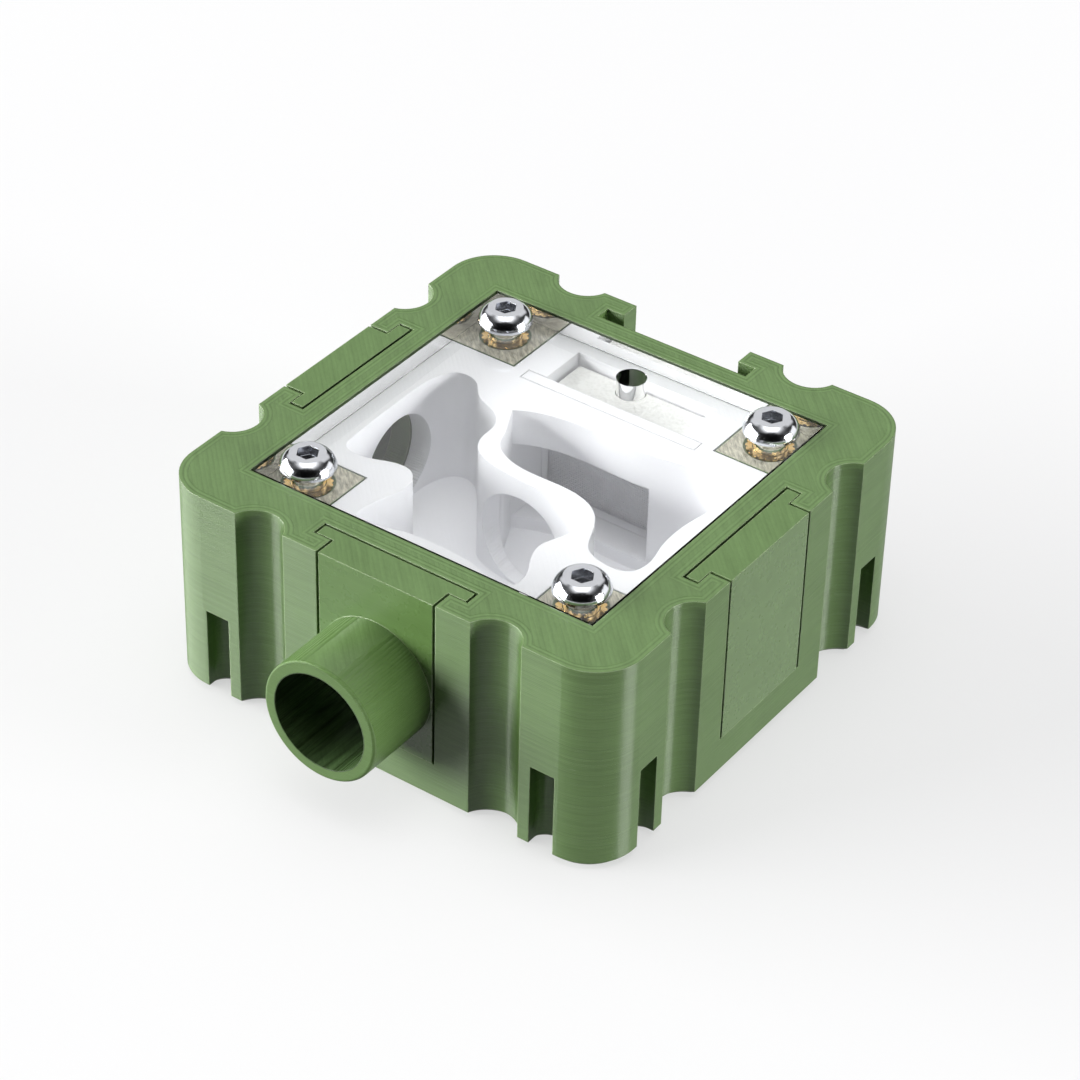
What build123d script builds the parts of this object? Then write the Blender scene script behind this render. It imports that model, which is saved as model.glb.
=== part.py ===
from build123d import *

import os

os.makedirs("parts", exist_ok=True)

# All lengths are in millimetres.
# Origin: centre of the base. +Z is up, -Y is the side with the tube spigot.

# ------------------------------------------------------------ housing, outside
side = 52.0                 # width and depth of the square housing
height = 23.2
corner_r = 5.2              # upright corners
base_chamfer = 0.8          # round the foot, also in the grooves and the notches

groove_offset = 13.6        # groove centre from the middle of its side
groove_r = 2.95
groove_out = 0.87           # groove centre lies this far outside the face

notch_offset = 19.05        # notch centre from the middle of its side
notch_w = 2.7
notch_depth = 2.2           # back of the notch is a half round
notch_h = 9.9

# ------------------------------------------------------------- panel slots
lip_depth = 2.2             # thickness of the two lips that hold a panel
neck_gap_w = 13.7           # gap between the lips
head_gap_w = 17.7           # wider space behind the lips
head_gap_depth = 1.75
slot_h = 18.6               # the slot is open at the top

# ------------------------------------------------------------- sliding panels
panel_side_gap = 0.3        # to the slot, each side
panel_face_gap = 0.1        # head to the lips
panel_back_gap = 0.3        # head to the back of the slot

spigot_od = 12.8
spigot_l = 8.4
spigot_rim_r = 0.3
port_d = 10.3               # bore of the spigot and of every tunnel behind it
port_below_top = 11.4       # tunnel axis below the top of the housing

# ------------------------------------------------------------- pocket and posts
floor_t = 3.0
pocket_wall = 2.3           # between a panel slot and the pocket
post_w = 7.7                # square posts in the pocket's corners
lid_t = 4.0
lid_recess = 0.1            # top of the lid below the rim
lid_gap = 0.25              # lid and insert to the pocket wall
post_gap = 0.2              # insert to the posts

# ------------------------------------------------------------- fasteners
screw_inset = 3.9           # screw axis from the pocket wall
thread_d = 3.0
thread_minor_d = 2.5
thread_pitch = 0.5
thread_fit = 0.05           # radial, thread in the brass insert
screw_l = 9.0               # under the head
head_d = 5.6
head_h = 1.6
head_rim_h = 0.25
head_flat_d = 3.6
head_dome_bulge = 0.2       # the dome stands this far out from a straight cone
socket_af = 2.0
socket_depth = 1.0
screw_hole_d = 3.4          # in the lid
brass_d = 4.8
brass_groove_d = 4.3
brass_l = 5.7
brass_band_l = 2.2          # each of the two knurled bands
brass_teeth = 20
knurl_w = 0.35
press = 0.05                # the knurls bite this deep into the post
post_hole_spare = 1.0       # hole goes on below the brass insert
post_mouth = 0.25           # countersink at the top of the post

# ------------------------------------------------------------- nest insert
long_depth = 12.6           # long chamber, from the top of the insert
side_depth = 14.2           # side chamber
water_depth = 13.3          # reservoir
nest_wall = 2.2             # thinnest wall between a chamber and the outside
water_hole_d = 3.0
water_wall = 1.6            # behind the reservoir
water_l = 5.55              # reservoir, front to back
mesh_side_wall = 1.45       # from the mesh slot to the gap at the posts
water_step = 2.2            # the reservoir is narrower than the mesh slot, each side
mesh_slot_t = 1.55
mesh_slot_foot = 1.5        # the slot reaches this far below the window
window_web = 2.6            # wall between the chamber and the mesh
window_step = 2.9           # the window is narrower than the mesh slot, each side
window_h = 8.8
window_below_top = 4.0      # top edge of the window below the top of the insert
door_reach = 1.3            # the doorway ends this far behind the middle

# ------------------------------------------------------------- mesh and sponge
cassette_gap = 0.1
mesh_t = 0.3
mesh_above_window = 2.0
mesh_pitch = 0.5
mesh_hole = 0.3
sponge_gap = 0.3
sponge_below_top = 1.0

# ------------------------------------------------------------- worked out
half = side / 2
slot_depth = lip_depth + head_gap_depth
pocket_half = half - slot_depth - pocket_wall
slot_floor_z = height - slot_h
port_z = height - port_below_top
lid_top_z = height - lid_recess
insert_top_z = lid_top_z - lid_t
lid_half = pocket_half - lid_gap
insert_half = pocket_half - lid_gap
screw_xy = pocket_half - screw_inset
water_floor_z = insert_top_z - water_depth
mesh_slot_w = 2 * (pocket_half - post_w - post_gap - mesh_side_wall)
water_w = mesh_slot_w - 2 * water_step
window_w = mesh_slot_w - 2 * window_step
water_back_y = insert_half - water_wall
water_front_y = water_back_y - water_l
mesh_front_y = water_front_y - mesh_slot_t
window_top_z = insert_top_z - window_below_top
window_foot_z = window_top_z - window_h
mesh_foot_z = window_foot_z - mesh_slot_foot
window_z = window_top_z - window_h / 2
net_top_z = window_top_z + mesh_above_window
cassette_front_y = mesh_front_y + cassette_gap
net_front_y = mesh_front_y + mesh_slot_t - cassette_gap - mesh_t
mesh_columns = round(window_w / mesh_pitch)
mesh_rows = round(window_h / mesh_pitch)
cassette_w = mesh_slot_w - 2 * cassette_gap
cassette_t = mesh_slot_t - 2 * cassette_gap
water_y = water_front_y + water_l / 2
post_spacing = 2 * pocket_half - post_w
screw_spacing = 2 * screw_xy

# Each side is drawn as the front one and turned to its place about Z.
front, right, back, left = 0, 90, 180, 270
corner_signs = [(1, -1), (1, 1), (-1, 1), (-1, -1)]

# The chambers fill a field: u runs across it from -1 to 1,
# v from 0 at the front wall to 1 at the wall in front of the mesh.
field_half = insert_half - nest_wall
field_front_y = -insert_half + nest_wall
field_back_y = mesh_front_y - window_web
field_l = field_back_y - field_front_y
port_inner_end = field_half - nest_wall

# L-shaped chamber behind the spigot, from its left end clockwise seen from above
long_chamber = [
    (-0.985, 0.36), (-0.995, 0.44), (-1.00, 0.56), (-1.00, 0.74), (-0.975, 0.91), (-0.90, 0.98), (-0.77, 0.97), (-0.67, 0.90),
    (-0.52, 0.85), (-0.43, 0.78), (-0.415, 0.68), (-0.36, 0.61), (-0.24, 0.57), (0.00, 0.545),
    (0.26, 0.53), (0.43, 0.48), (0.49, 0.42), (0.46, 0.33), (0.43, 0.27), (0.465, 0.17),
    (0.53, 0.07), (0.52, 0.015), (0.28, 0.02), (0.00, 0.04), (-0.28, 0.02), (-0.53, 0.01),
    (-0.53, 0.07), (-0.48, 0.19), (-0.465, 0.27), (-0.52, 0.34), (-0.62, 0.355), (-0.76, 0.325),
    (-0.88, 0.31), (-0.96, 0.325),
]

# chamber in front of the mesh, starting and ending at its sharp left tip
side_chamber = [
    (-0.435, 0.90), (-0.25, 0.955), (0.00, 0.975), (0.30, 0.97), (0.58, 0.99), (0.80, 1.00),
    (0.94, 0.95), (0.985, 0.84), (0.96, 0.73), (0.945, 0.62), (0.96, 0.51), (0.985, 0.40),
    (0.94, 0.33), (0.80, 0.315), (0.67, 0.345), (0.57, 0.47), (0.47, 0.56), (0.34, 0.60),
    (0.10, 0.61), (-0.12, 0.62), (-0.25, 0.66), (-0.33, 0.755),
]


def nest_points(outline):
    """Places of an outline's points, in millimetres."""
    return [(u * field_half, field_front_y + v * field_l) for u, v in outline]


def side_plane(turn, z):
    """Level plane at z, turned so that its -Y looks out of the given side."""
    return Plane.XY.offset(z).rotated((0, 0, turn))


def wall_plane(turn, distance):
    """Upright plane at a distance from the middle: local x runs across, local y runs up."""
    outward = Vector(0, -1, 0).rotate(Axis.Z, turn)
    across = Vector(1, 0, 0).rotate(Axis.Z, turn)
    return Plane(origin=outward * distance, x_dir=across, z_dir=outward)


def at_depth(depth, thickness):
    """Local place of a bar of some thickness that starts this far in from a side."""
    return (0, -half + depth + thickness / 2)


# ============================================================ housing
with BuildPart() as housing:
    with BuildSketch():
        RectangleRounded(side, side, corner_r)
    extrude(amount=height)
    chamfer(housing.faces().sort_by(Axis.Z)[0].edges(), base_chamfer)

    # pocket: square for the lid, and cross-shaped below it, which leaves the posts
    with BuildSketch(Plane.XY.offset(insert_top_z)):
        Rectangle(2 * pocket_half, 2 * pocket_half)
    extrude(amount=height - insert_top_z, mode=Mode.SUBTRACT)
    with BuildSketch(Plane.XY.offset(floor_t)):
        Rectangle(2 * pocket_half, 2 * pocket_half)
        with GridLocations(post_spacing, post_spacing, 2, 2):
            Rectangle(post_w, post_w, mode=Mode.SUBTRACT)
    extrude(amount=insert_top_z - floor_t, mode=Mode.SUBTRACT)

    # holes for the brass inserts
    with BuildSketch(Plane.XY.offset(insert_top_z)):
        with GridLocations(screw_spacing, screw_spacing, 2, 2):
            Circle(brass_d / 2 - press)
    extrude(amount=-brass_l - post_hole_spare, mode=Mode.SUBTRACT)
    with Locations((0, 0, insert_top_z - post_mouth / 2)):
        with GridLocations(screw_spacing, screw_spacing, 2, 2):
            Cone(brass_d / 2 - press, brass_d / 2 + post_mouth, post_mouth, mode=Mode.SUBTRACT)

    for turn in (front, right, back, left):
        # panel slot
        with BuildSketch(side_plane(turn, slot_floor_z)):
            with Locations(at_depth(0, slot_depth)):
                Rectangle(neck_gap_w, slot_depth)
            with Locations(at_depth(lip_depth, head_gap_depth)):
                Rectangle(head_gap_w, head_gap_depth)
        extrude(amount=slot_h, mode=Mode.SUBTRACT)

        # grooves, flared at the foot
        for flare, rise, slope in ((0, height, 0), (base_chamfer, base_chamfer, 45)):
            with BuildSketch(side_plane(turn, 0)):
                with Locations((-groove_offset, -half - groove_out), (groove_offset, -half - groove_out)):
                    Circle(groove_r + flare)
            extrude(amount=rise, taper=slope, mode=Mode.SUBTRACT)

        # notches, flared at the foot
        for flare, rise, slope in ((0, notch_h, 0), (base_chamfer, base_chamfer, 45)):
            with BuildSketch(side_plane(turn, 0)):
                with Locations((-notch_offset, -half), (notch_offset, -half)):
                    SlotOverall(2 * (notch_depth + flare), notch_w + 2 * flare, rotation=90)
            extrude(amount=rise, taper=slope, mode=Mode.SUBTRACT)

    # tunnels from the three panel slots that face a chamber
    for turn in (front, right, left):
        with BuildSketch(wall_plane(turn, half - slot_depth)):
            with Locations((0, port_z)):
                Circle(port_d / 2)
        extrude(amount=-pocket_wall, mode=Mode.SUBTRACT)
housing.part.label = "housing"


# ============================================================ nest insert
with BuildPart() as nest_insert:
    with BuildSketch(Plane.XY.offset(floor_t)):
        Rectangle(2 * insert_half, 2 * insert_half)
        with GridLocations(post_spacing, post_spacing, 2, 2):
            Rectangle(post_w + 2 * post_gap, post_w + 2 * post_gap, mode=Mode.SUBTRACT)
    extrude(amount=insert_top_z - floor_t)

    # chambers
    with BuildSketch(Plane.XY.offset(insert_top_z)):
        with BuildLine():
            Spline(*nest_points(long_chamber), periodic=True)
        make_face()
    extrude(amount=-long_depth, mode=Mode.SUBTRACT)
    with BuildSketch(Plane.XY.offset(insert_top_z)):
        with BuildLine():
            tip_curve = Spline(*nest_points(side_chamber))
            Line(tip_curve @ 1, tip_curve @ 0)
        make_face()
    extrude(amount=-side_depth, mode=Mode.SUBTRACT)

    # tunnels; the front one goes on through the wall between the chambers
    for turn, inner_end in ((front, -door_reach), (right, port_inner_end), (left, port_inner_end)):
        with BuildSketch(wall_plane(turn, insert_half)):
            with Locations((0, port_z)):
                Circle(port_d / 2)
        extrude(amount=inner_end - insert_half, mode=Mode.SUBTRACT)

    # window to the water side
    with BuildSketch(wall_plane(front, -mesh_front_y)):
        with Locations((0, window_z)):
            Rectangle(window_w, window_h)
    extrude(amount=window_web * 2, mode=Mode.SUBTRACT)

    # slot for the mesh, and the reservoir behind it
    with BuildSketch(Plane.XY.offset(mesh_foot_z)):
        with Locations((0, mesh_front_y + mesh_slot_t / 2)):
            Rectangle(mesh_slot_w, mesh_slot_t)
    extrude(amount=insert_top_z - mesh_foot_z, mode=Mode.SUBTRACT)
    with BuildSketch(Plane.XY.offset(water_floor_z)):
        with Locations((0, water_y)):
            Rectangle(water_w, water_l)
    extrude(amount=water_depth, mode=Mode.SUBTRACT)
nest_insert.part.label = "nest_insert"


# ============================================================ clear lid
with BuildPart() as lid:
    with BuildSketch(Plane.XY.offset(insert_top_z)):
        Rectangle(2 * lid_half, 2 * lid_half)
        with GridLocations(screw_spacing, screw_spacing, 2, 2):
            Circle(screw_hole_d / 2, mode=Mode.SUBTRACT)
        with Locations((0, water_y)):
            Circle(water_hole_d / 2, mode=Mode.SUBTRACT)
    extrude(amount=lid_t)
lid.part.label = "lid"


# ============================================================ mesh and its retainer
with BuildPart() as mesh_screen:
    with BuildSketch(wall_plane(front, -net_front_y)):
        with Locations((0, (mesh_foot_z + net_top_z) / 2)):
            Rectangle(cassette_w, net_top_z - mesh_foot_z)
        with Locations((0, window_z)):
            with GridLocations(mesh_pitch, mesh_pitch, mesh_columns, mesh_rows):
                Rectangle(mesh_hole, mesh_hole, mode=Mode.SUBTRACT)
    extrude(amount=-mesh_t)
mesh_screen.part.label = "mesh_screen"

# The net lies in the back of the retainer, whose top bar closes the whole slot.
with BuildPart() as mesh_retainer:
    with BuildSketch(Plane.XY.offset(mesh_foot_z)):
        with Locations((0, cassette_front_y + cassette_t / 2)):
            Rectangle(cassette_w, cassette_t)
    extrude(amount=insert_top_z - mesh_foot_z)
    with BuildSketch(Plane.XY.offset(mesh_foot_z)):
        with Locations((0, net_front_y + mesh_t / 2)):
            Rectangle(cassette_w, mesh_t)
    extrude(amount=net_top_z - mesh_foot_z, mode=Mode.SUBTRACT)
    with BuildSketch(wall_plane(front, -cassette_front_y)):
        with Locations((0, window_z)):
            Rectangle(window_w, window_h)
    extrude(amount=-cassette_t, mode=Mode.SUBTRACT)
mesh_retainer.part.label = "mesh_retainer"


# ============================================================ sponge
with BuildPart() as sponge:
    with BuildSketch(Plane.XY.offset(water_floor_z)):
        with Locations((0, water_y)):
            Rectangle(water_w - 2 * sponge_gap, water_l - 2 * sponge_gap)
    extrude(amount=water_depth - sponge_below_top)
sponge.part.label = "sponge"


# ============================================================ sliding panels
def panel_part(turn, with_spigot):
    """T-shaped panel for one slot, flush with the side and with the top."""
    neck_w = neck_gap_w - 2 * panel_side_gap
    head_w = head_gap_w - 2 * panel_side_gap
    neck_t = lip_depth + panel_face_gap
    head_t = head_gap_depth - panel_face_gap - panel_back_gap
    with BuildPart() as panel:
        with BuildSketch(side_plane(turn, slot_floor_z)):
            with Locations(at_depth(0, neck_t)):
                Rectangle(neck_w, neck_t)
            with Locations(at_depth(neck_t, head_t)):
                Rectangle(head_w, head_t)
        extrude(amount=slot_h)
        if with_spigot:
            with BuildSketch(wall_plane(turn, half)):
                with Locations((0, port_z)):
                    Circle(spigot_od / 2)
            extrude(amount=spigot_l)
            rim = panel.faces().filter_by(GeomType.PLANE).sort_by(Axis.Y)[0].edges()
            fillet(rim, spigot_rim_r)
            with BuildSketch(wall_plane(turn, half + spigot_l)):
                with Locations((0, port_z)):
                    Circle(port_d / 2)
            extrude(amount=-spigot_l - slot_depth, mode=Mode.SUBTRACT)
    return panel


tube_panel = panel_part(front, True)
tube_panel.part.label = "tube_panel"
blank_panel_right = panel_part(right, False)
blank_panel_right.part.label = "blank_panel_right"
blank_panel_left = panel_part(left, False)
blank_panel_left.part.label = "blank_panel_left"


# ============================================================ lid screws
def screw_part(x, y):
    """Button head screw. Its thread is a row of rings at the real pitch."""
    turns = round((screw_l - thread_pitch) / thread_pitch)
    shank = [(0, 0), (thread_d / 2, 0)]
    for ring in range(turns):
        crest_z = -ring * thread_pitch
        shank += [(thread_d / 2, crest_z - thread_pitch / 4)]
        shank += [(thread_minor_d / 2, crest_z - thread_pitch / 2)]
        shank += [(thread_minor_d / 2, crest_z - thread_pitch * 3 / 4)]
        shank += [(thread_d / 2, crest_z - thread_pitch)]
    shank += [(thread_minor_d / 2, -screw_l), (0, -screw_l)]
    half_section = Plane((x, y, lid_top_z), x_dir=(1, 0, 0), z_dir=(0, -1, 0))
    with BuildPart() as screw:
        with BuildSketch(half_section):
            with BuildLine():
                Polyline(*shank, close=True)
            make_face()
        revolve(axis=Axis((x, y, 0), (0, 0, 1)))
        with BuildSketch(half_section):
            with BuildLine():
                dome = SagittaArc((head_d / 2, head_rim_h), (head_flat_d / 2, head_h), -head_dome_bulge)
                Polyline(dome @ 1, (0, head_h), (0, 0), (head_d / 2, 0), dome @ 0)
            make_face()
        revolve(axis=Axis((x, y, 0), (0, 0, 1)))
        with BuildSketch(Plane.XY.offset(lid_top_z + head_h)):
            with Locations((x, y)):
                RegularPolygon(socket_af / 2, 6, major_radius=False)
        extrude(amount=-socket_depth, mode=Mode.SUBTRACT)
    return screw


def brass_part(x, y):
    """Threaded brass insert with two knurled bands, pressed into its post."""
    with BuildPart() as brass:
        with BuildSketch(Plane.XY.offset(insert_top_z)):
            with Locations((x, y)):
                Circle(brass_groove_d / 2)
        extrude(amount=-brass_l)
        for band_top_z in (insert_top_z, insert_top_z - brass_l + brass_band_l):
            with BuildSketch(Plane.XY.offset(band_top_z)):
                with Locations((x, y)):
                    Circle(brass_d / 2)
                    with PolarLocations(brass_d / 2, brass_teeth):
                        Rectangle(knurl_w, knurl_w, rotation=45, mode=Mode.SUBTRACT)
            extrude(amount=-brass_band_l)
        with BuildSketch(Plane.XY.offset(insert_top_z)):
            with Locations((x, y)):
                Circle(thread_d / 2 + thread_fit)
        extrude(amount=-brass_l, mode=Mode.SUBTRACT)
    return brass


pieces = [housing, nest_insert, lid, mesh_screen, mesh_retainer, sponge]
pieces += [tube_panel, blank_panel_right, blank_panel_left]
for number, (x_sign, y_sign) in enumerate(corner_signs, 1):
    screw = screw_part(x_sign * screw_xy, y_sign * screw_xy)
    screw.part.label = f"lid_screw_{number}"
    brass = brass_part(x_sign * screw_xy, y_sign * screw_xy)
    brass.part.label = f"brass_insert_{number}"
    pieces += [screw, brass]

for piece in pieces:
    export_step(piece.part, f"parts/{piece.part.label}.step")
    print(piece.part.label, round(piece.part.volume, 1), "mm3")
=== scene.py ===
import math

import bmesh
import bpy
from mathutils import Euler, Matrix, Vector, geometry, noise


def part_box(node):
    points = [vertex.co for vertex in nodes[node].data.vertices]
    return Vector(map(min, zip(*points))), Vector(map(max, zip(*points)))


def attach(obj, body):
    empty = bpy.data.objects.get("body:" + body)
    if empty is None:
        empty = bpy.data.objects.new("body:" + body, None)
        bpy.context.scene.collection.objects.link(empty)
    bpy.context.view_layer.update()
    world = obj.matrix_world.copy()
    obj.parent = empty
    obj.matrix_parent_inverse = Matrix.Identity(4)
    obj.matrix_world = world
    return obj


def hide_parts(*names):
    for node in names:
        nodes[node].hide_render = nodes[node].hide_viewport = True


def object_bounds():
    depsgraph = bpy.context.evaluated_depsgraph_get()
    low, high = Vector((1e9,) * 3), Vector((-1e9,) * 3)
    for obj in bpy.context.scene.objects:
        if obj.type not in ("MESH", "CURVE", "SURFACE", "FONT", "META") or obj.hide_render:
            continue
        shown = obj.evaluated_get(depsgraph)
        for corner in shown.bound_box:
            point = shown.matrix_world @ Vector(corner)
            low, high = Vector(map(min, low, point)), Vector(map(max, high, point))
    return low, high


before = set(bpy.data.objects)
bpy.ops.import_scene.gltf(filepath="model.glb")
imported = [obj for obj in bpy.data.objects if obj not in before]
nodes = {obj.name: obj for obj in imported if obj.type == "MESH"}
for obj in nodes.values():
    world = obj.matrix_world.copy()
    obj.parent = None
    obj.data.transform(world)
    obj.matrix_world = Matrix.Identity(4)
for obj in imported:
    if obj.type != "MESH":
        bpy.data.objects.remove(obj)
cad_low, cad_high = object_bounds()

scene = bpy.context.scene
scene.view_settings.view_transform = "Standard"

MM = 0.001

# Sizes that the finishes follow, in millimetres
SIDE = 52.0
CORNER_R = 5.2
GROOVE_AT, GROOVE_R, GROOVE_OUT = 13.6, 2.95, 0.87
SLOT_BACK, HEAD_HALF, NECK_HALF, HEAD_DEPTH = 22.05, 8.85, 6.85, 1.75
NECK_REACH = 5.0            # the neck of the slot, on to past the wall
POCKET_HALF = 19.75
POST_TOP = (18.5, 20.0)     # the posts' tops lie between these heights
GAP_SHADE_FROM = 19.0          # the pocket's wall gets painted shade above this height
PANEL_FACE = (25.9, 26.05)  # a panel's outer face lies this far from the middle
PANEL_INNER = 22.5          # and its inner face nearer than this
BORE_FROM = 22.3            # the part of the bore past this is in the panel and its spigot
SPIGOT_END = 34.0           # the spigot's end face lies past this
PORT_R, PORT_Z = 5.15, 11.8
SCREW_AT, SCREW_HOLE_R = 15.85, 1.7
WATER_AT, WATER_HOLE_R = 15.125, 1.5
LAYER = 0.2                 # printed layer
LAYER_START = 0.3           # share of a layer below the base
BEAD = 0.45                 # width of one printed line
PERIMETERS = 2              # lines that follow the outline before the infill starts
DIAGONAL = 0.7071           # x and y of a unit line on the slant

# Printed surfaces
LEVEL_FROM = 0.96           # a face is level where its normal is this upright
SLANT_GAIN = 5.0            # how much more the layers stand out on a slanting face
WALL_SPREAD = 1.0           # how much wider a reflection is across the beads of a wall
LEVEL_LESS = 0.4            # and how much less on a level face
BEAD_HEIGHT = 0.022 * MM
EDGE_R = 0.14 * MM


# ---------------------------------------------------------------- node helpers
class Number:
    """A number that runs over the surface, with the arithmetic of Python."""

    def __init__(self, shader, socket):
        self.shader = shader
        self.socket = socket

    def op(self, operation, *others, clamp=False):
        node = self.shader.node("ShaderNodeMath", operation=operation, use_clamp=clamp)
        for target, value in zip(node.inputs, (self, *others)):
            self.shader.put(target, value)
        return Number(self.shader, node.outputs[0])

    def __add__(self, other):
        return self.op("ADD", other)

    def __sub__(self, other):
        return self.op("SUBTRACT", other)

    def __mul__(self, other):
        return self.op("MULTIPLY", other)

    def __truediv__(self, other):
        return self.op("DIVIDE", other)

    def __neg__(self):
        return self.op("MULTIPLY", -1.0)

    def abs(self):
        return self.op("ABSOLUTE")

    def min(self, other):
        return self.op("MINIMUM", other)

    def max(self, other):
        return self.op("MAXIMUM", other)

    def fract(self):
        return self.op("FRACT")

    def floor(self):
        return self.op("FLOOR")

    def above(self, limit):
        return self.op("GREATER_THAN", limit)

    def below(self, limit):
        return self.op("LESS_THAN", limit)

    def clamped(self):
        return self.op("ADD", 0.0, clamp=True)

    def length_with(self, other):
        return (self * self + other * other).op("SQRT")

    def bead(self):
        """Round profile of a row of lines one unit wide, 1 on their crowns and 0 between them."""
        across = self.fract() * 2.0 - 1.0
        return -(across * across) + 1.0

    def mix(self, low, high):
        """low where this number is 0, high where it is 1."""
        node = self.shader.node("ShaderNodeMix", data_type="FLOAT")
        self.shader.put(node.inputs[0], self)
        self.shader.put(node.inputs[2], low)
        self.shader.put(node.inputs[3], high)
        return Number(self.shader, node.outputs[0])


class Shader:
    """A material or world made of nodes."""

    def __init__(self, name, owner=None):
        self.owner = owner or bpy.data.materials.new(name)
        self.owner.use_nodes = True
        self.tree = self.owner.node_tree
        self.tree.nodes.clear()
        self._coords = None

    def node(self, kind, **settings):
        node = self.tree.nodes.new(kind)
        for name, value in settings.items():
            setattr(node, name, value)
        return node

    def put(self, target, value):
        if isinstance(value, Number):
            value = value.socket
        if isinstance(value, bpy.types.NodeSocket):
            self.tree.links.new(value, target)
        else:
            target.default_value = value

    def coords(self):
        if self._coords is None:
            self._coords = self.node("ShaderNodeTexCoord")
        return self._coords

    def xyz(self, socket=None, scale=1.0 / MM):
        """x, y and z of the surface in millimetres, or of another vector."""
        split = self.node("ShaderNodeSeparateXYZ")
        self.put(split.inputs[0], socket or self.coords().outputs["Object"])
        return [Number(self, s) * scale for s in split.outputs]

    def vector(self, x, y, z):
        join = self.node("ShaderNodeCombineXYZ")
        for target, value in zip(join.inputs, (x, y, z)):
            self.put(target, value)
        return join.outputs[0]

    def noise(self, vector, scale, detail=2.0, roughness=0.5):
        node = self.node("ShaderNodeTexNoise")
        self.put(node.inputs["Vector"], vector)
        node.inputs["Scale"].default_value = scale
        node.inputs["Detail"].default_value = detail
        node.inputs["Roughness"].default_value = roughness
        return Number(self, node.outputs[0])

    def random_of(self, number):
        node = self.node("ShaderNodeTexWhiteNoise", noise_dimensions="1D")
        self.put(node.inputs["W"], number)
        return Number(self, node.outputs["Value"])

    def blend(self, share, low, high):
        """A colour between two colours."""
        node = self.node("ShaderNodeMix", data_type="RGBA")
        self.put(node.inputs[0], share)
        self.put(node.inputs[6], low)
        self.put(node.inputs[7], high)
        return node.outputs[2]

    def bump(self, height, distance, normal=None):
        node = self.node("ShaderNodeBump")
        self.put(node.inputs["Height"], height)
        node.inputs["Distance"].default_value = distance
        if normal is not None:
            self.put(node.inputs["Normal"], normal)
        return node.outputs[0]

    def rounded(self, radius):
        """Normals as if the sharp edges had this radius."""
        node = self.node("ShaderNodeBevel", samples=4)
        node.inputs["Radius"].default_value = radius
        return node.outputs[0]

    def edge_share(self, rounded, gain):
        """1 on sharp edges, falling to 0 where the rounding ends."""
        geometry = self.node("ShaderNodeNewGeometry")
        dot = self.node("ShaderNodeVectorMath", operation="DOT_PRODUCT")
        self.put(dot.inputs[0], geometry.outputs["True Normal"])
        self.put(dot.inputs[1], rounded)
        return ((-Number(self, dot.outputs["Value"]) + 1.0) * gain).clamped()

    def surface(self, **values):
        """Ends in one Principled shader. Names are its sockets, with _ for a space."""
        node = self.node("ShaderNodeBsdfPrincipled")
        for name, value in values.items():
            self.put(node.inputs[name.replace("_", " ")], value)
        return self.ends_in(node)

    def mixed(self, share, first, second):
        """Ends in a mix of two shaders, which is all second where share is 1."""
        node = self.node("ShaderNodeMixShader")
        for target, value in zip(node.inputs, (share, first.outputs[0], second.outputs[0])):
            self.put(target, value)
        return self.ends_in(node)

    def ends_in(self, node):
        """Links the node to the output of the material or world, and returns its owner."""
        kind = "World" if isinstance(self.owner, bpy.types.World) else "Material"
        self.put(self.node("ShaderNodeOutput" + kind).inputs["Surface"], node.outputs[0])
        return self.owner


def tone(red, green, blue):
    """Linear colour from the values that an image shows, 0 to 255."""
    def linear(v):
        v /= 255.0
        return v / 12.92 if v <= 0.04045 else ((v + 0.055) / 1.055) ** 2.4
    return (linear(red), linear(green), linear(blue), 1.0)


# ---------------------------------------------------------------- printed plastic
def outline_distance(shader, x, y):
    """Distance in mm from the nearest outline of the housing as seen from above."""
    near = x.abs().min(y.abs())
    far = x.abs().max(y.abs())
    start = SIDE / 2 - CORNER_R
    outer = -((near - start).max(0.0).length_with((far - start).max(0.0))) + CORNER_R
    groove = (near - GROOVE_AT).length_with(far - SIDE / 2 - GROOVE_OUT) - GROOVE_R
    head_mid = SLOT_BACK + HEAD_DEPTH / 2
    head = (near - HEAD_HALF).max((far - head_mid).abs() - HEAD_DEPTH / 2)
    neck = (near - NECK_HALF).max((far - SLOT_BACK - NECK_REACH / 2).abs() - NECK_REACH / 2)
    slot = head.min(neck).abs()
    pocket = (far - POCKET_HALF).abs()
    return outer.min(groove).min(slot).min(pocket)


def wall_lines(s, x, y, z):
    """Relief and shade of the walls.
    Every layer sits a little in or out, and some stretches stand out more."""
    layers = z / LAYER + LAYER_START
    chance = s.random_of(layers.floor())
    band = s.noise(s.vector(x * 0.06, y * 0.06, z * 2.6), 1.0, detail=3.0, roughness=0.7)
    torn = s.noise(s.vector(x * 0.45, y * 0.45, z * 5.0), 1.0, detail=2.0, roughness=0.6)
    relief = layers.bead() * 0.45 + chance * 0.5 + band * 0.6 + torn * 0.7
    shade = (chance - 0.5) * 0.3 + (band - 0.5) * 0.5 + (torn - 0.5) * 0.7
    return relief, shade


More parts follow.
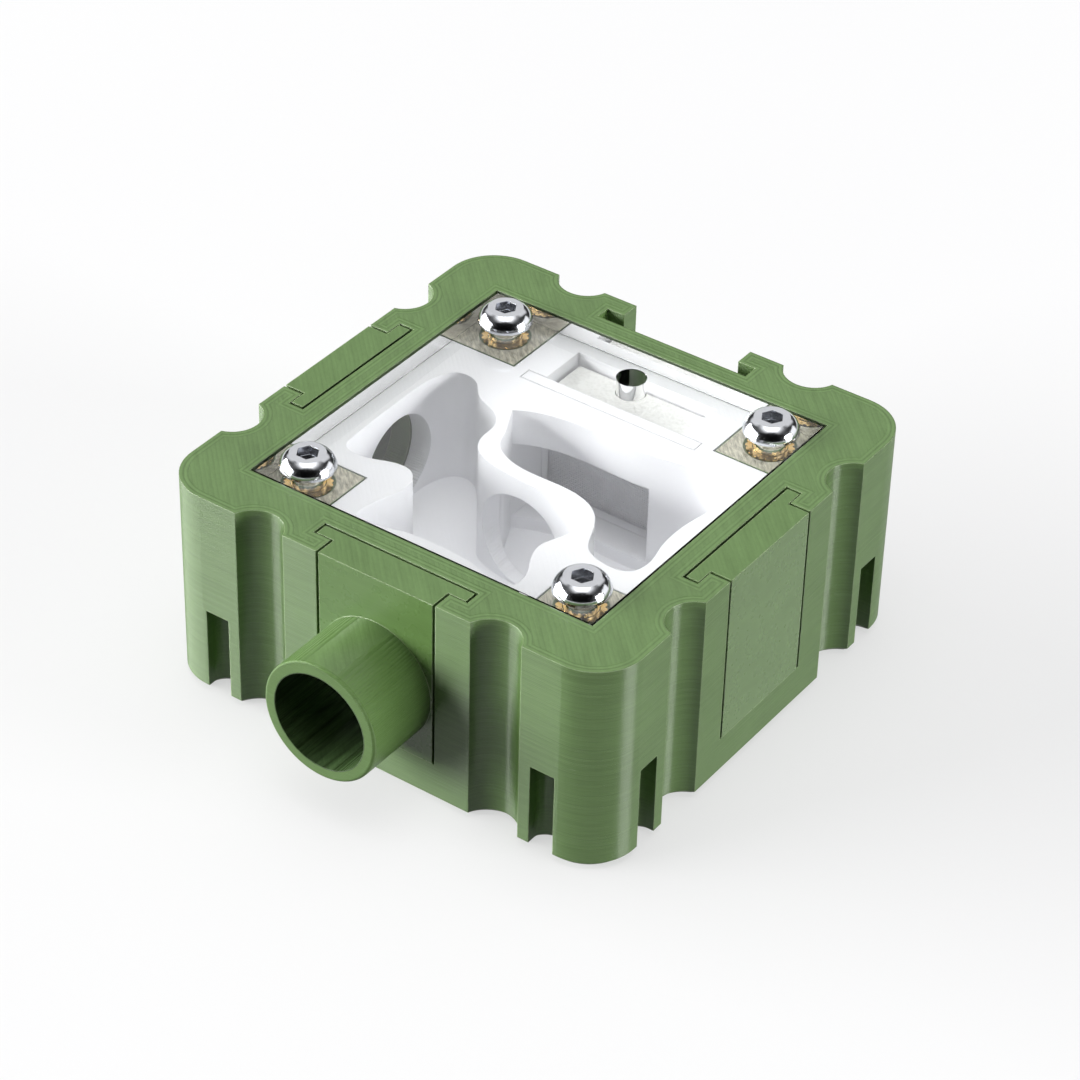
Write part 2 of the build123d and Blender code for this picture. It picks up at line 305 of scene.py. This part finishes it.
def top_lines(s, x, y, z, depth, housing_top):
    """Relief and shade of level faces: lines on the slant.
    On the housing, some that follow its outline come first."""
    position = s.coords().outputs["Object"]
    drift = s.noise(position, 260.0, detail=1.0)
    diagonal = (x + y) * (DIAGONAL / BEAD) + drift * 0.5
    streak = s.noise(s.vector((x + y) * 1.1, (x - y) * 0.12, z), 1.0, detail=3.0, roughness=0.65)
    grain = s.noise(position, 2600.0, detail=2.0, roughness=0.6)
    if housing_top:
        edge = outline_distance(s, x, y)
        inside = edge.above(PERIMETERS * BEAD)
        beads = inside.mix((edge / BEAD).bead(), diagonal.bead() * 0.45 + 0.3)
        lines = inside.mix((beads - 0.6) * 0.8, (beads - 0.5) * 0.25 * depth)
    else:
        beads = diagonal.bead() * 0.6 + 0.2
        lines = (beads - 0.5) * 0.25 * depth
    relief = beads * depth + grain * 0.5 + streak * 0.8
    shade = lines + (grain - 0.5) * 0.5 + (streak - 0.5) * 1.1
    return relief, shade


def blotched_posts_and_gap_shade(s, colour, x, y, z, level, far):
    """The posts' tops under the lid are blotched dark and pale; the pocket's wall above the insert gets
    painted shade.
    """
    # painted shade: the pocket's wall in the narrow gap beside the lid is darkened, as the lid lets little
    # light down there
    gap_shade = (-level + 1.0) * (far - POCKET_HALF).abs().below(0.05) * z.above(GAP_SHADE_FROM)
    colour = s.blend(gap_shade * 0.75, colour, tone(18, 24, 16))
    post = level * z.below(POST_TOP[1]) * z.above(POST_TOP[0])
    # the posts' tops are blotched between a dark and a pale tone
    blotches = s.noise(s.vector((x + y) * 2.2, (x - y) * 0.5, z), 1.0, detail=3.0, roughness=0.7)
    blotches = ((blotches - 0.5) * 2.2 + 0.5).clamped()
    return s.blend(post, colour, s.blend(blotches, tone(112, 108, 88), tone(232, 227, 206)))


def dull_and_shaded_inside(s, colour, gloss, x, y, z, level, far):
    """Inside the slot and in the bore the plastic is dull, and painted dark with lengthwise streaks as
    painted shade. The spigot's end is duller too.
    """
    # painted shade: the panels' inner faces and the bore are painted dark, streaked lengthwise, and are also
    # less glossy
    bore = x.length_with(z - PORT_Z).below(PORT_R + 0.1) * far.above(BORE_FROM)
    shaded_inside = (far.below(PANEL_INNER) * (-level + 1.0)).max(bore)
    lengthwise = s.noise(s.vector(x * 1.6, y * 0.08, z * 1.6), 1.0, detail=3.0, roughness=0.7)
    lengthwise = ((lengthwise - 0.5) * 2.4 + 0.4).clamped()
    colour = s.blend(shaded_inside * 0.8, colour, s.blend(lengthwise, tone(14, 22, 12), tone(74, 98, 62)))
    gloss = -(shaded_inside * 0.7).max(far.above(SPIGOT_END) * 0.6) * gloss + gloss
    return colour, gloss


def printed(name, dark, light, edges, wall_depth, top_depth, gloss, roughness=0.38, contrast=1.0,
            panel=False, housing_top=False):
    """Plastic laid down in layers: level lines on the walls, beads on level faces.
    dark and light are the colours between which it varies, and edges that of the painted highlight on its
    sharp edges."""
    s = Shader(name)
    x, y, z = s.xyz()
    position = s.coords().outputs["Object"]
    normal_z = s.xyz(s.coords().outputs["Normal"], 1.0)[2]
    level = normal_z.abs().above(LEVEL_FROM)
    far = x.abs().max(y.abs())
    wall, wall_shade = wall_lines(s, x, y, z)
    top, top_shade = top_lines(s, x, y, z, top_depth, housing_top)

    slant = normal_z.max(0.0) * (-level + 1.0)
    share = level.mix(slant * SLANT_GAIN + wall_depth, 1.0)
    patch = s.noise(position, 120.0, detail=3.0, roughness=0.6)
    shade = ((patch - 0.5) * 0.6 + level.mix(wall_shade * wall_depth, top_shade)) * contrast + 0.5
    colour = s.blend(shade.clamped(), dark, light)
    if housing_top:
        colour = blotched_posts_and_gap_shade(s, colour, x, y, z, level, far)
    rounded = s.rounded(EDGE_R)
    # painted highlight: the sharp edges are lightened towards the edges colour
    colour = s.blend(s.edge_share(rounded, 5.0) * 0.85, colour, edges)
    rough = (s.noise(position, 900.0, detail=2.0) - 0.5) * 0.1 + roughness
    # the beads spread a reflection across them and keep it sharp along them
    spread = -level * LEVEL_LESS + WALL_SPREAD
    if panel:
        # the outer face is smoother than the other walls
        face = far.above(PANEL_FACE[0]) * far.below(PANEL_FACE[1])
        share = share * (face * -0.99 + 1.0)
        rough = rough - face * 0.1
        spread = spread * (-face + 1.0)
        colour, gloss = dull_and_shaded_inside(s, colour, gloss, x, y, z, level, far)
    return s.surface(
        Base_Color=colour,
        Roughness=rough,
        IOR=1.5,
        Specular_IOR_Level=gloss,
        Anisotropic=spread,
        Tangent=s.vector(level * DIAGONAL, level * DIAGONAL, -level + 1.0),
        Normal=s.bump(level.mix(wall, top) * share, BEAD_HEIGHT, rounded),
    )


# dark, light, and the painted highlight on sharp edges
green_tones = tone(74, 100, 51), tone(95, 124, 71), tone(158, 178, 134)
white_tones = tone(248, 248, 252), tone(252, 252, 254), tone(250, 250, 252)
green = printed("green_plastic", *green_tones, wall_depth=0.9, top_depth=0.9, gloss=0.65, contrast=1.1,
                housing_top=True)
green_panel = printed("green_plastic_panel", *green_tones, wall_depth=0.6, top_depth=0.5, gloss=0.55,
                      panel=True)
white = printed("white_plastic", *white_tones, wall_depth=0.5, top_depth=0.3, gloss=0.5, roughness=0.5,
                contrast=0.7)


# ---------------------------------------------------------------- metals
def metal(name, colour, second, roughness, spread, grain):
    """Metal between two colours. Its roughness varies by spread, and grain is its relief in mm."""
    s = Shader(name)
    position = s.coords().outputs["Object"]
    cloud = s.noise(position, 700.0, detail=3.0, roughness=0.6)
    fine = s.noise(position, 5200.0, detail=2.0)
    return s.surface(
        Base_Color=s.blend(cloud, colour, second),
        Metallic=1.0,
        Roughness=(fine - 0.5) * spread + roughness,
        Normal=s.bump(fine, grain * MM, s.rounded(0.05 * MM)),
    )


zinc = metal("zinc_steel", tone(214, 216, 222), tone(228, 230, 234), roughness=0.13, spread=0.1, grain=0.003)
brass = metal("brass", tone(226, 184, 104), tone(246, 214, 146), roughness=0.22, spread=0.16, grain=0.006)
wire = metal("steel_mesh", tone(222, 222, 226), tone(244, 244, 247), roughness=0.36, spread=0.2, grain=0.002)


# ---------------------------------------------------------------- clear acrylic
def clear(name, cut):
    """Clear sheet: glass to what looks at it, and open to the light that falls through its faces.
    Its cut edges are streaked upright, and no light enters by them."""
    s = Shader(name)
    glass = s.node("ShaderNodeBsdfPrincipled")
    glass.inputs["Base Color"].default_value = (0.985, 0.99, 0.99, 1.0)
    glass.inputs["Roughness"].default_value = 0.12 if cut else 0.0
    glass.inputs["IOR"].default_value = 1.49
    glass.inputs["Transmission Weight"].default_value = 1.0
    opened = s.node("ShaderNodeBsdfTransparent")
    opened.inputs["Color"].default_value = (0.98, 0.985, 0.985, 1.0)
    path = s.node("ShaderNodeLightPath")
    light = Number(s, path.outputs["Is Shadow Ray"]).max(Number(s, path.outputs["Is Diffuse Ray"]))
    if cut:
        x, y, z = s.xyz()
        streaks = s.noise(s.vector(x * 4.0, y * 4.0, z * 0.12), 1.0, detail=3.0, roughness=0.7)
        s.put(glass.inputs["Normal"], s.bump(streaks, 0.05 * MM))
        light = light * Number(s, s.node("ShaderNodeNewGeometry").outputs["Backfacing"])
    return s.mixed(light, glass, opened)


acrylic = clear("clear_acrylic", cut=False)
acrylic_cut = clear("clear_acrylic_cut", cut=True)


# ---------------------------------------------------------------- foam
def foam_material(name):
    """Pale foam, with painted shade in its pores."""
    s = Shader(name)
    position = s.coords().outputs["Object"]
    pores = s.node("ShaderNodeTexVoronoi", feature="F1")
    s.put(pores.inputs["Vector"], position)
    pores.inputs["Scale"].default_value = 2600.0
    pore = Number(s, pores.outputs["Distance"])
    cloud = s.noise(position, 500.0, detail=3.0, roughness=0.6)
    # painted shade: darker where the pores are
    pore_shade = (-(pore * 1.6) + 1.0).clamped()
    shade = (pore_shade * 0.5 + (cloud - 0.5) * 0.6).clamped()
    return s.surface(
        Base_Color=s.blend(shade, tone(243, 243, 240), tone(216, 216, 212)),
        Roughness=0.9,
        Normal=s.bump(pore + cloud * 0.5, 0.05 * MM),
    )


foam = foam_material("sponge")


# ---------------------------------------------------------------- pieces
def piece_from(work, name):
    """Object from a finished bmesh."""
    mesh = bpy.data.meshes.new(name)
    work.to_mesh(mesh)
    work.free()
    piece = bpy.data.objects.new(name, mesh)
    scene.collection.objects.link(piece)
    return piece


def assign(piece, material):
    piece.data.materials.clear()
    piece.data.materials.append(material)


def finish_node(name, material):
    """Puts a material in each slot of a node that stays."""
    piece = nodes[name]
    if not piece.material_slots:
        piece.data.materials.append(material)
    for slot in piece.material_slots:
        slot.material = material


finish_node("housing", green)
for name in ("tube_panel", "blank_panel_right", "blank_panel_left"):
    finish_node(name, green_panel)
finish_node("nest_insert", white)
finish_node("mesh_retainer", white)
for number in (1, 2, 3, 4):
    finish_node(f"lid_screw_{number}", zinc)
    finish_node(f"brass_insert_{number}", brass)


# ---------------------------------------------------------------- lid
def plate(name, low, high, holes, edge):
    """Sheet with round holes and small chamfers along its edges.
    Its faces have material 0 and its cut walls 1."""
    turns = 64      # points round a hole
    steps = 12      # points along a side
    cut = 1         # the row of faces between the chamfers

    def loops(inset):
        """Outline to the left, then every hole to the right, drawn in by inset."""
        corners = [(low.x + inset, low.y + inset), (high.x - inset, low.y + inset),
                   (high.x - inset, high.y - inset), (low.x + inset, high.y - inset)]
        rings = [[]]
        for (ax, ay), (bx, by) in zip(corners, corners[1:] + corners[:1]):
            rings[0] += [(ax + (bx - ax) * i / steps, ay + (by - ay) * i / steps) for i in range(steps)]
        for x, y, radius in holes:
            r = radius + inset
            angles = [-2 * math.pi * i / turns for i in range(turns)]
            rings.append([(x + r * math.cos(angle), y + r * math.sin(angle)) for angle in angles])
        return rings

    work = bmesh.new()
    levels = ((low.z, edge), (low.z + edge, 0.0), (high.z - edge, 0.0), (high.z, edge))
    rows = [[[work.verts.new((x, y, z)) for x, y in ring] for ring in loops(inset)] for z, inset in levels]
    for step, (below, above) in enumerate(zip(rows, rows[1:])):
        for under, over in zip(below, above):
            for i in range(len(under)):
                j = (i + 1) % len(under)
                face = work.faces.new((under[i], under[j], over[j], over[i]))
                face.material_index = 1 if step == cut else 0
                face.smooth = step == cut
    flat = [Vector(point) for ring in loops(edge) for point in ring]
    bounds, start = [], 0
    for ring in loops(edge):
        bounds += [(start + i, start + (i + 1) % len(ring)) for i in range(len(ring))]
        start += len(ring)
    found = geometry.delaunay_2d_cdt(flat, bounds, [], 0, 1e-7)
    source = [ids[0] for ids in found[3]]
    for row, turned in ((rows[0], True), (rows[-1], False)):
        verts = [vert for ring in row for vert in ring]
        for face in found[2]:
            middle = sum((flat[source[i]] for i in face), Vector((0.0, 0.0))) / 3
            if any((middle - Vector((x, y))).length < radius + edge for x, y, radius in holes):
                continue
            corners = [verts[source[i]] for i in face]
            work.faces.new(reversed(corners) if turned else corners)
    piece = piece_from(work, name)
    piece.data.set_sharp_from_angle(angle=math.radians(30))
    return piece


lid_low, lid_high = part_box("lid")
lid_low.z += 0.02 * MM      # air film over the insert
lid_holes = [(x * SCREW_AT, y * SCREW_AT, SCREW_HOLE_R) for x in (-1, 1) for y in (-1, 1)]
lid_holes.append((0.0, WATER_AT, WATER_HOLE_R))
lid_holes = [(x * MM, y * MM, radius * MM) for x, y, radius in lid_holes]
lid_glass = plate("lid_sheet", lid_low, lid_high, lid_holes, edge=0.05 * MM)
assign(lid_glass, acrylic)
lid_glass.data.materials.append(acrylic_cut)
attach(lid_glass, "lid")
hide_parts("lid")


# ---------------------------------------------------------------- woven mesh
def woven(name, low, high, pitch, thick):
    """Plain weave of round wire between two corners, upright across Y."""
    work = bmesh.new()
    sides = 6
    mid_y = (low.y + high.y) / 2
    swing = thick * 0.5
    columns = int((high.x - low.x - thick) / pitch)
    rows = int((high.z - low.z - thick) / pitch)
    x0 = (low.x + high.x) / 2 - (columns - 1) * pitch / 2
    z0 = (low.z + high.z) / 2 - (rows - 1) * pitch / 2

    def strand(points, across):
        """One wire through the points. across is the side on which it lies beside its neighbours."""
        rings = []
        for point in points:
            ring = []
            for i in range(sides):
                turn = 2 * math.pi * i / sides
                sideways = across * math.cos(turn) * thick / 2
                outwards = Vector((0, 1, 0)) * math.sin(turn) * thick / 2
                ring.append(work.verts.new(point + (sideways + outwards)))
            rings.append(ring)
        for a, b in zip(rings, rings[1:]):
            for i in range(sides):
                j = (i + 1) % sides
                face = work.faces.new((a[i], a[j], b[j], b[i]))
                face.smooth = True
        work.faces.new(list(reversed(rings[0])))
        work.faces.new(rings[-1])

    def crossing(c, r, side):
        """Where column c crosses row r, swung to one side and to the other at the next."""
        way = 1 if (c + r) % 2 else -1
        return Vector((x0 + c * pitch, mid_y + side * swing * way, z0 + r * pitch))

    for c in range(columns):
        x = x0 + c * pitch
        ends = Vector((x, mid_y, low.z)), Vector((x, mid_y, high.z))
        strand([ends[0], *(crossing(c, r, 1) for r in range(rows)), ends[1]], Vector((1, 0, 0)))
    for r in range(rows):
        z = z0 + r * pitch
        ends = Vector((low.x, mid_y, z)), Vector((high.x, mid_y, z))
        strand([ends[0], *(crossing(c, r, -1) for c in range(columns)), ends[1]], Vector((0, 0, 1)))
    bmesh.ops.recalc_face_normals(work, faces=work.faces)
    return piece_from(work, name)


net_low, net_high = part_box("mesh_screen")
net = woven("woven_mesh", net_low, net_high, pitch=0.27 * MM, thick=0.12 * MM)
assign(net, wire)
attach(net, "mesh_cassette")
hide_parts("mesh_screen")


# ---------------------------------------------------------------- sponge
def foam_block(name, low, high, step, depth):
    """Cut block of fine foam: its faces are pitted and its edges are worn round."""
    work = bmesh.new()
    size = high - low
    counts = [max(2, round(s / step)) for s in size]
    index = {}

    def vert(i, j, k):
        """The point at a step of the grid, made once."""
        key = (i, j, k)
        if key not in index:
            index[key] = work.verts.new(Vector((
                low.x + size.x * i / counts[0],
                low.y + size.y * j / counts[1],
                low.z + size.z * k / counts[2],
            )))
        return index[key]

    for fixed, first, second in ((2, 0, 1), (1, 0, 2), (0, 1, 2)):
        for i in range(counts[first]):
            for j in range(counts[second]):
                for side in (0, counts[fixed]):
                    corners = []
                    for di, dj in ((0, 0), (1, 0), (1, 1), (0, 1)):
                        place = [side, side, side]
                        place[first] = i + di
                        place[second] = j + dj
                        corners.append(vert(*place))
                    work.faces.new(corners)
    bmesh.ops.recalc_face_normals(work, faces=work.faces)
    work.normal_update()
    centre = (low + high) / 2
    round_r = 0.5 * MM
    for v in work.verts:
        # round the edges: pull a point near two faces towards the centre line of the edge
        d = Vector([max(abs(v.co[a] - centre[a]) - (size[a] / 2 - round_r), 0.0) for a in range(3)])
        if d.length > round_r:
            pull = d * (1 - round_r / d.length)
            for a in range(3):
                v.co[a] -= math.copysign(pull[a], v.co[a] - centre[a])
        pit = noise.noise(v.co * 1900.0) * 0.6 + noise.noise(v.co * 4300.0) * 0.4
        v.co -= v.normal * depth * (0.55 + 0.45 * max(-1.0, min(1.0, pit * 1.6)))
    for face in work.faces:
        face.smooth = True
    return piece_from(work, name)


pad_low, pad_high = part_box("sponge")
pad = foam_block("foam_block", pad_low, pad_high, step=0.16 * MM, depth=0.09 * MM)
assign(pad, foam)
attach(pad, "nest_insert")
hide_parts("sponge")


# ---------------------------------------------------------------- floor
FLOOR_GLOW = 0.62           # share of the seen floor that the object's shadow doesn't reach
FLOOR_REACH = 6.0           # metres from the middle to an edge


def floor_material():
    """Pale paper. What looks at it sees it near white with the object's soft shadow.
    It throws less light back on the object."""
    s = Shader("pale_floor")
    position = s.coords().outputs["Object"]
    fibre = s.noise(position, 900.0, detail=2.0)
    cloud = s.noise(position, 6.0, detail=2.0)
    path = s.node("ShaderNodeLightPath")
    seen = Number(s, path.outputs["Is Camera Ray"])
    for ray in ("Is Glossy Ray", "Is Transmission Ray"):
        seen = seen.max(Number(s, path.outputs[ray]))
    paper = s.node("ShaderNodeBsdfDiffuse")
    pale = s.blend(cloud, tone(218, 218, 219), tone(222, 222, 222))
    s.put(paper.inputs["Color"], s.blend(seen, tone(64, 64, 64), pale))
    s.put(paper.inputs["Normal"], s.bump(fibre, 0.01 * MM))
    glow = s.node("ShaderNodeEmission")
    s.put(glow.inputs["Color"], s.blend(cloud, tone(246, 246, 247), tone(250, 250, 250)))
    glow.inputs["Strength"].default_value = 1.0
    return s.mixed(seen * FLOOR_GLOW, paper, glow)


floor_mesh = bpy.data.meshes.new("floor")
floor_corners = [(x * FLOOR_REACH, y * FLOOR_REACH, 0) for x, y in ((-1, -1), (1, -1), (1, 1), (-1, 1))]
floor_mesh.from_pydata(floor_corners, [], [(0, 1, 2, 3)])
floor = bpy.data.objects.new("floor", floor_mesh)
scene.collection.objects.link(floor)
floor.location.z = cad_low.z
assign(floor, floor_material())


# ---------------------------------------------------------------- studio
SKY_LOW = 0.03              # light from everywhere
SKY_TOP = 3.75              # soft light overhead
SKY_TOWARDS = (0.06, -0.09, 0.994)
SKY_NARROW = 12.0
BEHIND_CAMERA = (0.457, -0.659, 0.597)
DARK_WALL = (29, 15, 54, 40, 0.15)
# Soft boxes: azimuth, elevation, half width and half height in degrees, and softness of the edge.
# Then the strength.
BOXES = (
    ((-57, 13, 30, 14, 0.03), 18.0),
    ((103, 10, 13, 11, 0.03), 22.0),
    ((137, 13, 17, 14, 0.05), 1.2),
    ((-145, 50, 50, 32, 0.3), 0.8),
)


def studio():
    """Room with a soft light overhead and soft boxes at both sides and behind the object.
    It is dark behind the camera."""
    world = bpy.data.worlds.new("studio")
    scene.world = world
    s = Shader("studio", world)
    direction = s.coords().outputs["Generated"]
    dx, dy, dz = s.xyz(direction, 1.0)

    def towards(v):
        return dx * v[0] + dy * v[1] + dz * v[2]

    def box(azimuth, elevation, half_width, half_height, soft):
        """1 inside a rectangle of sky. Angles in degrees; azimuth 0 is -Y and 90 is +X."""
        a, e = math.radians(azimuth), math.radians(elevation)
        centre = Vector((math.sin(a) * math.cos(e), -math.cos(a) * math.cos(e), math.sin(e)))
        right = Vector((math.cos(a), math.sin(a), 0))
        up = right.cross(centre)
        if up.z < 0:
            up = -up
        ahead = towards(centre)
        across = (towards(right) / ahead.max(0.02)).abs()
        along = (towards(up) / ahead.max(0.02)).abs()
        inside = ((-across + math.tan(math.radians(half_width))) / soft).clamped()
        return inside * ((-along + math.tan(math.radians(half_height))) / soft).clamped()

    light = towards(SKY_TOWARDS).max(0.0).op("POWER", SKY_NARROW) * SKY_TOP + SKY_LOW
    for place, strength in BOXES:
        light = light + box(*place) * strength
    dark = ((towards(BEHIND_CAMERA) - 0.86) * 12.0).clamped().max(box(*DARK_WALL))
    light = light * (dark * -0.95 + 1.0)

    back = s.node("ShaderNodeBackground")
    s.put(back.inputs["Color"], (1.0, 1.0, 1.0, 1.0))
    s.put(back.inputs["Strength"], light)
    s.ends_in(back)


studio()


# ---------------------------------------------------------------- camera
camera = bpy.data.objects.new("camera", bpy.data.cameras.new("camera"))
scene.collection.objects.link(camera)
camera.data.sensor_width = 36.0
camera.data.lens = 120.2044
camera.data.clip_start = 0.01
camera.data.clip_end = 50.0
camera.location = (0.160491, -0.231291, 0.221451)
camera.rotation_euler = Euler([math.radians(a) for a in (53.36408, -1.24518, 35.66954)])
scene.camera = camera
